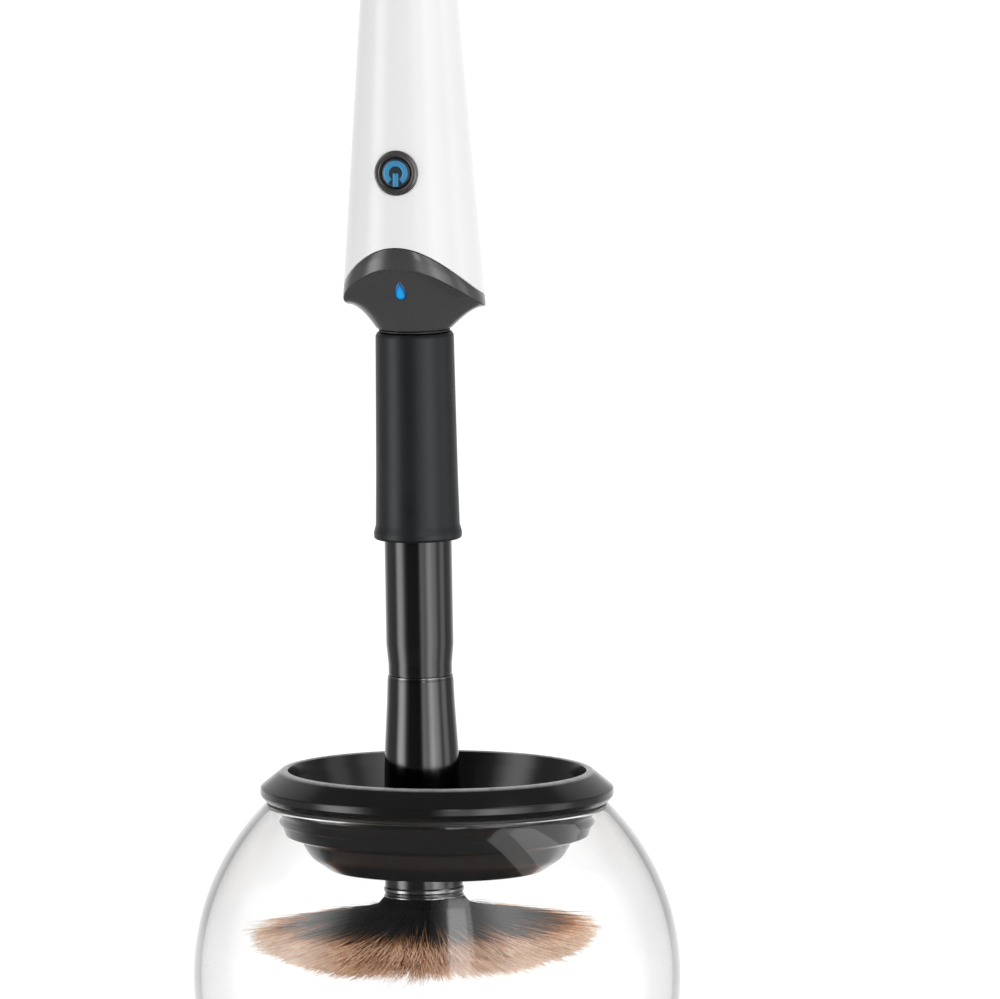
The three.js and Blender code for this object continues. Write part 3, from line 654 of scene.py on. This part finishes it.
def end_cap(material):
    """The domed top, which closes the cell tube."""
    base = 156
    outside = [(handle_radius(z), z) for z in (SHELL_TOP + 0.3, 152, 154, base)]
    outside[0] = (outside[0][0] - 0.25, SHELL_TOP + 0.05)
    outside.insert(1, (handle_radius(SHELL_TOP + 0.3), SHELL_TOP + 0.3))
    dome = []
    for i in range(1, 16):
        angle = math.radians(6 * i)
        dome.append((handle_radius(base) * math.cos(angle), base + (HANDLE_TOP - base) * math.sin(angle)))
    plug = [(0, 154), (6.4, 154), (6.4, 142), (7.8, 142), (8.1, 142.3), (8.1, SHELL_TOP)]
    outline = [*plug, *outside, *dome[:-1], (0, HANDLE_TOP)]
    bm = turned(outline, segments=128, loop=False)
    return new_piece("end_cap", bm, material, "battery_cap", ["battery_cap"])


# ---------------------------------------------------------------- button and light

BUTTON_TILT = math.atan(TAPER)
BUTTON_SEAT = Matrix.Translation(Vector((0, -handle_radius(BUTTON_Z), BUTTON_Z)) * MM)
BUTTON_PLACE = SPINNER @ BUTTON_SEAT @ Matrix.Rotation(math.pi / 2 - BUTTON_TILT, 4, "X")


def switch_bezel(material):
    outline = rounded([
        (BUTTON_R + 0.15, -1.9), (BEZEL_R, -1.9), (BEZEL_R, 0.3, 0.3), (5.35, 0.6, 0.4), (4.6, 0.5, 0.3),
        (BUTTON_R + 0.15, -0.2, 0.1),
    ])
    bm = turned(outline, segments=96, place=BUTTON_PLACE)
    return new_piece("switch_bezel", bm, material, "spinner", ["button_bezel"])


def switch_button(material):
    outline = rounded([
        (0, -2.2), (BUTTON_R, -2.2), (BUTTON_R, -0.15, 0.35), (3.2, 0.1, 1.5), (0, 0.12),
    ], closed=False)
    bm = turned(outline, segments=96, place=BUTTON_PLACE, loop=False)
    return new_piece("switch_button", bm, material, "button", ["button_cap"])


def standby_symbol(material):
    """An open ring with a bar through its gap, raised a little from the button."""
    bm = bmesh.new()
    low, high, ease = 0.1, 0.3, 0.08
    section = [(-1, low), (-1, high - ease), (-0.85, high), (0.85, high), (1, high - ease), (1, low)]
    half_gap = math.radians(35)
    half_stroke = SYMBOL_STROKE / 2

    def stroke(path):
        """A raised stroke with eased top edges, along points in the button's plane."""
        rings = []
        for i, point in enumerate(path):
            ahead = path[min(i + 1, len(path) - 1)] - path[max(i - 1, 0)]
            side = Vector((-ahead.y, ahead.x)).normalized()
            ring = []
            for across, z in section:
                flat = point + side * across * half_stroke
                ring.append(bm.verts.new(BUTTON_PLACE @ (Vector((flat.x, flat.y, z)) * MM)))
            rings.append(ring)
        for a, b in zip(rings, rings[1:]):
            for j in range(len(section)):
                k = (j + 1) % len(section)
                bm.faces.new([a[j], a[k], b[k], b[j]])
        bm.faces.new(rings[0])
        bm.faces.new(rings[-1])

    steps = 40
    sweep = TAU - 2 * half_gap
    ring_angles = [-math.pi / 2 + half_gap + sweep * i / steps for i in range(steps + 1)]
    middle = SYMBOL_R - half_stroke
    stroke([Vector((middle * math.cos(a), middle * math.sin(a))) for a in ring_angles])
    stroke([Vector((0, -0.1 - (SYMBOL_R + 0.1) * i / 6)) for i in range(7)])
    return new_piece("standby_symbol", bm, material, "button", ["symbol_ring", "symbol_bar"])


LED_R = 13.9  # where the light sits on the cap's hollow underside
LED_HALF_WIDTH = 1.6
LED_LENGTH = 6


def light_drop(material):
    """A drop-shaped lens, point up, that stands a little proud of the cap's underside."""
    step = 0.5
    rise = underside_height(LED_R + step, 0) - underside_height(LED_R - step, 0)
    slope = math.atan2(rise, 2 * step)
    seat = Matrix.Translation(Vector((0, -LED_R, underside_height(LED_R, 0) + 0.15)) * MM)
    place = SPINNER @ seat @ Matrix.Rotation(math.pi - slope, 4, "X")
    tip = LED_LENGTH / 2
    belly = LED_HALF_WIDTH - tip
    left = bezier([(0, tip), (-0.7, 1.9), (-LED_HALF_WIDTH, 0.9), (-LED_HALF_WIDTH, belly)], 12)
    bottom = []
    for i in range(1, 16):
        angle = math.pi + math.pi * i / 16
        bottom.append((LED_HALF_WIDTH * math.cos(angle), belly + LED_HALF_WIDTH * math.sin(angle)))
    right = [(-x, y) for x, y in reversed(left)]
    outline = [*left, *bottom, *right[:-1]]
    bm = bmesh.new()
    lens_depth = bm.verts.layers.float.new("lens_depth")
    rings = []
    dome = [(1, -1.6), (1, -0.05), (0.96, 0.1), (0.86, 0.2), (0.7, 0.28), (0.45, 0.33), (0.2, 0.35)]
    for scale, z in dome:
        ring = []
        for x, y in outline:
            vert = bm.verts.new(place @ (Vector((x * scale, belly + (y - belly) * scale, z)) * MM))
            vert[lens_depth] = 1 - scale
            ring.append(vert)
        rings.append(ring)
    count = len(outline)
    for a, b in zip(rings, rings[1:]):
        for j in range(count):
            k = (j + 1) % count
            bm.faces.new([a[j], a[k], b[k], b[j]])
    bm.faces.new(rings[0])
    bm.faces.new(rings[-1])
    return new_piece("light_drop", bm, material, "spinner", ["led_window"])


# ---------------------------------------------------------------- collar and brush


def rubber_collar(material):
    """Sleeve with a soft shoulder, a slight taper and a rolled lip."""
    outline = rounded([
        (9.9, -0.95, 0.5), (10.45, -1.9, 0.8), (10.52, -8), (10.68, -22), (10.92, -40), (11.2, -52.6, 1.5),
        (11.75, -54.6, 0.9), (11.7, COLLAR_END + 0.1, 0.8), (9.6, COLLAR_END, 0.4),
        (GRIP_R, COLLAR_END + 0.7, 0.2), (GRIP_R, -18.8), (3, -18.8), (3, -16.6), (6.45, -16.6),
        (6.45, -0.95, 0.2),
    ])
    bm = turned(outline, segments=144)
    return new_piece("rubber_collar", bm, material, "collar", ["collar"])


def drive_stub(material):
    """The spindle's driver. Its thin dark flange is painted shade: a dark ring that fills the shaded gap between
    the cap and the collar, seen as a dark line.
    """
    outline = rounded([
        # The flange at radius 9.5 is painted shade, a dark ring that blocks the light in the gap under the cap.
        (0, -16), (6.3, -16, 0.8), (6.3, -0.72), (9.5, -0.72, 0.2), (9.5, -0.18, 0.2), (3.4, -0.18),
        (3.4, 12.9), (1.1, 12.9), (1.1, 3), (0, 3),
    ], closed=False)
    bm = turned(outline, segments=96, loop=False)
    return new_piece("drive_stub", bm, material, "spindle", ["spindle"])


def brush_rod(material):
    """The brush's lacquered handle, necked down into the ferrule."""
    outline = rounded([
        (0, -112), (7.6, -112), (7.6, FERRULE_TOP), (8.4, FERRULE_TOP, 0.1), (8.46, -92.4, 0.3),
        (8.46, -90.2, 6), (8.96, -84.8, 14), (8.96, -60), (8.95, -44, 1), (7.6, -42, 1), (0, -42),
    ], closed=False)
    bm = turned(outline, segments=144, loop=False)
    return new_piece("brush_rod", bm, material, "brush", ["brush_handle"])


def ferrule_sleeve(material):
    """Drawn metal sleeve: a rolled edge at the top, a long flare, and a crimped bead near the hair."""
    edge = FERRULE_TOP - 0.05
    inner_r, crimp_r = 8.0, 10.5
    outline = rounded([
        (inner_r, edge, 0.05), (8.7, edge, 0.2), (8.72, FERRULE_TOP - 0.6), (8.82, -94.2, 2),
        (9.06, -100.2, 20), (9.45, -106.7, 30), (9.84, -113.1, 40), (10.1, -119.5, 60), (10.32, -134, 60),
        (10.38, -149.7, 0.2), (10.68, -150.1, 0.3), (10.68, -150.9, 0.3), (10.4, -151.2, 0.1),
        (10.4, -151.8, 0.1),
        (10.66, -152.1, 0.2), (10.66, FERRULE_END, 0.25), (9.9, FERRULE_END, 0.1), (9.8, -130),
        (9.5, -119.5), (8.8, -106.7), (inner_r, -98),
    ])

    def ferrule_highlights(r, z):
        """The rolled top edge, the crimp and the bottom edge get a little painted highlight."""
        if z > FERRULE_TOP - 0.4 and r > inner_r + 0.1:
            return 0.3
        return 0.4 if r > crimp_r else 0.0

    bm = turned(outline, segments=144, edge_highlight=ferrule_highlights)
    return new_piece("ferrule_sleeve", bm, material, "brush", ["brush_ferrule"])


# Layers of the head of hair: a name, and how far from the brush's middle its strands are rooted.
LAYERS = [("bristles_outer", 0.72, 1.0), ("bristles_middle", 0.4, 0.72), ("bristles_inner", 0.0, 0.4)]
STRANDS = 6000  # in each layer
WISPS = 420
FIRST_SEED = 11
STRAND_STOPS = (0, 0.28, 0.52, 0.72, 0.88, 1)
STRAND_SIDES = 3
STRAND_R = 0.14
ROOTS_R = 9.5  # radius of the tuft in the ferrule

# Where strands end, as (u, radius, height). u says how far from the brush's middle they are rooted: 0 is in
# the middle and 1 is outside.
TIPS = [
    (0.0, 26, -170.6), (0.25, 31, -170.4), (0.5, 38.5, -168), (0.75, 43.5, -165.2), (1.0, 46.5, -161.4),
]


def strand_tip(u):
    """(radius, height) of a strand's end, between the two nearest of TIPS."""
    for (u0, r0, z0), (u1, r1, z1) in zip(TIPS, TIPS[1:]):
        if u <= u1:
            share = (u - u0) / (u1 - u0)
            return r0 + (r1 - r0) * share, z0 + (z1 - z0) * share
    return TIPS[-1][1:]


def strand_path(u, root_r, reach, lift, sag):
    """(radius, height) points of one strand: down out of the ferrule, then thrown outwards."""
    tip_r, tip_z = strand_tip(u)
    root_z = FERRULE_END + 1.2
    elbow = (root_r + 0.4, root_z - 5.2 - 9 * (1 - u))
    bend = (root_r + 4 + 7 * u, root_z - 5.8 - 11.6 * (1 - u) + sag)
    tip = (root_r + (tip_r - root_r) * reach, tip_z + lift)
    return [bezier_point([(root_r, root_z), elbow, bend, tip], t) for t in STRAND_STOPS]


def gathered_wisps(draw, inner, outer):
    """Clumps of hair: where each is rooted, and how far and which way it is thrown."""
    wisps = []
    for _ in range(WISPS):
        wisps.append({
            "u": math.sqrt(draw.uniform(inner * inner, outer * outer)), "angle": draw.uniform(0, TAU),
            "reach": draw.gauss(1.0, 0.035), "lift": draw.gauss(0, 0.6), "twist": draw.gauss(0, 0.09),
            "shade": draw.random(),
        })
    return wisps


def strand_section(a, r, z, t):
    """The corners of one strand's cross-section at angle a, a share t of the way along it."""
    centre = Vector((r * math.sin(a), -r * math.cos(a), z))
    out = Vector((math.sin(a), -math.cos(a), 0))
    side = Vector((math.cos(a), math.sin(a), 0))
    cross = Vector((0, 0, t)) + out * (1 - t)
    thick = STRAND_R * (1 - 0.75 * t * t)
    corners = []
    for k in range(STRAND_SIDES):
        turn = TAU * k / STRAND_SIDES
        corners.append(SPINNER @ ((centre + (side * math.cos(turn) + cross * math.sin(turn)) * thick) * MM))
    return corners


def strand_faces(first):
    """Sides and ends of the strand whose vertices start at number first."""
    faces = []
    last_stop = len(STRAND_STOPS) - 1
    for i in range(last_stop):
        for k in range(STRAND_SIDES):
            a0 = first + STRAND_SIDES * i + k
            a1 = first + STRAND_SIDES * i + (k + 1) % STRAND_SIDES
            faces.append((a0, a1, a1 + STRAND_SIDES, a0 + STRAND_SIDES))
    faces.append((first + 2, first + 1, first))
    last = first + STRAND_SIDES * last_stop
    faces.append((last, last + 1, last + 2))
    return faces


def color_share(t, turning):
    """The strand_along attribute: it reaches TURN_AT where the dark root colour ends, and 1 at the tip."""
    if t < turning:
        return TURN_AT * t / turning
    return TURN_AT + (1 - TURN_AT) * (t - turning) / (1 - turning)


def bristle_layer(name, inner, outer, material, seed):
    """Strands of hair as tapering three-sided prisms, loosely gathered into wisps at their tips."""
    draw = random.Random(seed)
    wisps = gathered_wisps(draw, inner, outer)
    verts, faces, along, tone = [], [], [], []
    for _ in range(STRANDS):
        wisp = draw.choice(wisps)
        u = min(1.0, max(0.0, draw.gauss(wisp["u"], 0.06)))
        angle = draw.gauss(wisp["angle"], 0.2)
        tip_angle = wisp["angle"] + wisp["twist"] + draw.gauss(0, 0.075)
        reach = min(1.06, wisp["reach"] + draw.gauss(0, 0.03) - abs(draw.gauss(0, 0.035)))
        lift = wisp["lift"] + draw.gauss(0, 0.7)
        path = strand_path(u, ROOTS_R * u, reach, lift, draw.gauss(0, 0.5))
        shade = min(1.0, max(0.0, draw.gauss(wisp["shade"], 0.2)))
        turning = 0.77 + 0.11 * u * u + draw.gauss(0, 0.045)
        faces += strand_faces(len(verts))
        for t, (r, z) in zip(STRAND_STOPS, path):
            verts += strand_section(angle + (tip_angle - angle) * t, r, z, t)
            along += [color_share(t, turning)] * STRAND_SIDES
            tone += [shade] * STRAND_SIDES
    mesh = bpy.data.meshes.new(name)
    mesh.from_pydata(verts, [], faces)
    mesh.attributes.new("strand_along", "FLOAT", "POINT").data.foreach_set("value", along)
    mesh.attributes.new("strand_tone", "FLOAT", "POINT").data.foreach_set("value", tone)
    mesh.shade_smooth()
    mesh.materials.append(material)
    piece = bpy.data.objects.new(name, mesh)
    bpy.context.scene.collection.objects.link(piece)
    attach(piece, "brush")
    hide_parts("brush_bristles")
    return piece


# ---------------------------------------------------------------- studio

CAMERA_AZIMUTH = math.radians(15)
CAMERA_ELEVATION = math.radians(6.8)
LENS = 900
SENSOR = 36
CAMERA_DISTANCE = 6.66  # metres
AIM_RIGHT = 16.8
AIM_HEIGHT = 175.95


def camera_directions():
    """(to the right, back towards the camera) on the level."""
    right = Vector((math.cos(CAMERA_AZIMUTH), math.sin(CAMERA_AZIMUTH), 0))
    toward = Vector((math.sin(CAMERA_AZIMUTH), -math.cos(CAMERA_AZIMUTH), 0))
    return right, toward


def add_camera():
    right, toward = camera_directions()
    back = toward * math.cos(CAMERA_ELEVATION) + Vector((0, 0, math.sin(CAMERA_ELEVATION)))
    data = bpy.data.cameras.new("camera")
    data.lens = LENS
    data.sensor_width = SENSOR
    camera = bpy.data.objects.new("camera", data)
    bpy.context.scene.collection.objects.link(camera)
    aim = right * AIM_RIGHT * MM + Vector((0, 0, AIM_HEIGHT * MM))
    camera.location = aim + back * CAMERA_DISTANCE
    camera.rotation_mode = "QUATERNION"
    camera.rotation_quaternion = (-back).to_track_quat("-Z", "Y")
    bpy.context.scene.camera = camera


# Brightness of the studio in reflections, by the angle from the camera towards the picture's right: a large
# softbox on the left, a faint one by the camera, two on the right, and the backdrop behind the object.
STUDIO = [
    (-180, 1.0), (-160, 1.0), (-142, 0.85), (-128, 0.45), (-114, 0.45), (-92, 0.5), (-86, 0.9), (-80, 3.4),
    (-72, 5.4), (-62, 4.8), (-54, 2.2), (-47, 0.5), (-38, 0.14), (-4, 0.1), (2, 0.6), (7, 2.1), (16, 2.1),
    (21, 1.7), (28, 3.4), (36, 5.0), (46, 3.6), (60, 2.3), (68, 0.9), (74, 0.9), (82, 2.0), (92, 1.8),
    (102, 0.5), (128, 0.45), (142, 0.85), (160, 1.0), (180, 1.0),
]
STUDIO_PEAK = 5.4
UPPER_SHARE = 0.62  # how bright the softboxes still are above the level
BACKDROP = 1.1  # a little over white, for what the glass takes away
STRIP_LIGHT = 4.2  # a narrow strip just right of the camera
HIGH_WINDOW_LIGHT = 1.8  # a small window high on the right, mirrored in the glass
OVERHEAD = 0.15
UNDERSIDE = 0.06
AMBIENT = 1.03
AMBIENT_SLANT = 0.17  # how much more light comes from the picture's right than from its left


def add_world():
    """Camera rays, and rays nearly straight through the glass, see plain white. Reflections see softboxes to
    the left and right, between a dark ceiling and a dark floor. Matt surfaces are lit evenly, a little more
    from the right."""
    world = bpy.data.worlds.new("studio")
    bpy.context.scene.world = world
    world.use_nodes = True
    world.cycles.sampling_method = "NONE"
    world.node_tree.nodes.clear()
    nodes = Nodes(world.node_tree)

    def blend(share, first, second):
        return nodes.add("ShaderNodeMix", {0: share, 2: first, 3: second}).outputs[0]

    def share_along(axis):
        product = nodes.add("ShaderNodeVectorMath", {0: direction, 1: axis}, operation="DOT_PRODUCT")
        return product.outputs["Value"]

    right, toward = camera_directions()
    direction = nodes.add("ShaderNodeTexCoord").outputs["Generated"]
    across = share_along(right)
    ahead = share_along(toward)
    degrees = nodes.math("MULTIPLY", nodes.math("ARCTAN2", across, ahead), 360 / TAU)
    share = nodes.math("MULTIPLY_ADD", degrees, 1 / 360, 0.5)
    stops = [((a + 180) / 360, grey(value / STUDIO_PEAK)) for a, value in STUDIO]
    band = nodes.math("MULTIPLY", nodes.ramp(share, stops), STUDIO_PEAK)
    height = nodes.add("ShaderNodeSeparateXYZ", {0: direction}).outputs["Z"]

    def window(left, right_edge, low, high, soft_angle, soft_height):
        """1 inside a window between two angles and two heights, with soft edges."""
        edges = [
            nodes.remap(degrees, left - soft_angle, left, smooth=True),
            nodes.remap(degrees, right_edge + soft_angle, right_edge, smooth=True),
            nodes.remap(height, low - soft_height, low, smooth=True),
            nodes.remap(height, high + soft_height, high, smooth=True),
        ]
        inside = edges[0]
        for edge in edges[1:]:
            inside = nodes.math("MULTIPLY", inside, edge)
        return inside

    above = nodes.remap(height, 0.0, 0.16, smooth=True)
    upper = nodes.math("MULTIPLY", band, blend(above, 1.0, UPPER_SHARE))
    strip = nodes.math("MULTIPLY", window(6.5, 15.5, 0.14, 0.62, 2, 0.04), STRIP_LIGHT)
    high_window = nodes.math("MULTIPLY", window(62, 104, 0.70, 0.92, 2, 0.015), HIGH_WINDOW_LIGHT)
    lit = blend(nodes.remap(height, 0.66, 0.72, smooth=True), upper, OVERHEAD)
    lit = nodes.math("MAXIMUM", lit, nodes.math("MAXIMUM", strip, high_window))
    lit = blend(nodes.remap(height, -0.42, -0.56, smooth=True), lit, UNDERSIDE)
    even = nodes.math("MULTIPLY_ADD", across, AMBIENT_SLANT, AMBIENT)
    path = nodes.add("ShaderNodeLightPath").outputs
    lit = blend(path["Is Diffuse Ray"], lit, even)
    behind = nodes.remap(ahead, -0.6, -0.85, smooth=True)
    level = nodes.remap(nodes.math("ABSOLUTE", height), 0.32, 0.2, smooth=True)
    through = nodes.math("MULTIPLY", path["Is Transmission Ray"], nodes.math("MAXIMUM", behind, level))
    straight = nodes.math("MAXIMUM", path["Is Camera Ray"], through)
    strength = blend(straight, lit, BACKDROP)
    background = nodes.add("ShaderNodeBackground", {"Color": grey(1.0), "Strength": strength})
    nodes.add("ShaderNodeOutputWorld", {"Surface": background})


FLOOR_R = 0.6  # metres
FLOOR_Z = -0.0002  # just under the foot
MIRRORED_FLOOR_FADE = 0.95  # how much of the floor is left out of reflections


def add_floor():
    """A plain white table top that fades into the white studio, and that reflections hardly see."""
    bm = bmesh.new()
    bmesh.ops.create_circle(bm, cap_ends=True, segments=96, radius=FLOOR_R)
    mesh = bpy.data.meshes.new("floor")
    bm.to_mesh(mesh)
    bm.free()
    floor = bpy.data.objects.new("floor", mesh)
    floor.location.z = FLOOR_Z
    bpy.context.scene.collection.objects.link(floor)
    material = bpy.data.materials.new("floor")
    material.use_nodes = True
    material.node_tree.nodes.clear()
    nodes = Nodes(material.node_tree)
    place = nodes.add("ShaderNodeTexCoord").outputs["Object"]
    radius = nodes.add("ShaderNodeVectorMath", {0: place}, operation="LENGTH").outputs["Value"]
    fade = nodes.remap(radius, 0.28, 0.5, smooth=True)
    matte = nodes.add("ShaderNodeBsdfDiffuse", {"Color": grey(0.62)})
    glow = nodes.add("ShaderNodeEmission", {"Color": grey(1.0), "Strength": 0.5})
    top = nodes.add("ShaderNodeAddShader", {0: matte, 1: glow})
    clear = nodes.add("ShaderNodeBsdfTransparent")
    path = nodes.add("ShaderNodeLightPath").outputs
    mirrored = nodes.math("SUBTRACT", path["Is Glossy Ray"], path["Is Transmission Ray"], clamp=True)
    hidden = nodes.math("MAXIMUM", fade, nodes.math("MULTIPLY", mirrored, MIRRORED_FLOOR_FADE))
    mixed = nodes.add("ShaderNodeMixShader", {0: hidden, 1: top, 2: clear})
    nodes.add("ShaderNodeOutputMaterial", {"Surface": mixed})
    mesh.materials.append(material)


# ---------------------------------------------------------------- the scene

glass_bowl(clear_glass())
guard_funnel(guard_plastic())
guard_gasket(seal_rubber())
shell_plastic = white_plastic()
handle_casing(shell_plastic)
end_cap(shell_plastic)
saddle_cap(cap_plastic())
switch_bezel(bezel_plastic())
switch_button(button_plastic())
standby_symbol(blue_enamel())
light_drop(light_window())
rubber_collar(rubber())
drive_stub(seal_rubber())
brush_rod(lacquer())
ferrule_sleeve(black_chrome())
tan_hair = hair()
for seed, (layer, inner, outer) in enumerate(LAYERS, start=FIRST_SEED):
    bristle_layer(layer, inner, outer, tan_hair, seed)
dress_inner_pieces()
add_floor()
add_world()
add_camera()
bpy.context.scene.view_settings.view_transform = "Standard"
